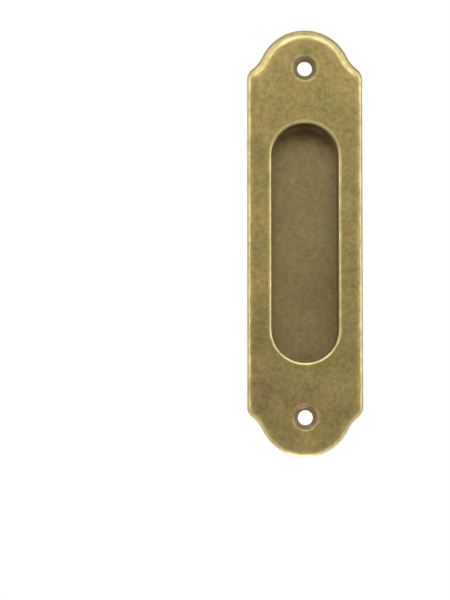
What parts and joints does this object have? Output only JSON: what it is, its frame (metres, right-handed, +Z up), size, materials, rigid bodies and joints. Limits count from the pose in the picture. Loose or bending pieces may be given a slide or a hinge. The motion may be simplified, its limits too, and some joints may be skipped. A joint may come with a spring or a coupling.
{
  "type": "pocket door pull",
  "caption": "Flush pull for a pocket door: oblong plate with arched ends, a deep oblong finger cup and two countersunk screw holes.",
  "frame": {"origin": "midway between the two screw holes, in the plane of the plate's flat back, where it lies on the door", "axes": "+Z up along the plate, +X across it to the right as seen from the room, +Y from the room into the door"},
  "size_m": [0.04, 0.0108, 0.148],
  "materials": {
    "pull_plate": "antique patina, cloudy olive brown, rubbed to bright brass on the edges"
  },
  "bodies": {
    "root": {"pull_plate": "pull_plate"}
  },
  "joints": []
}
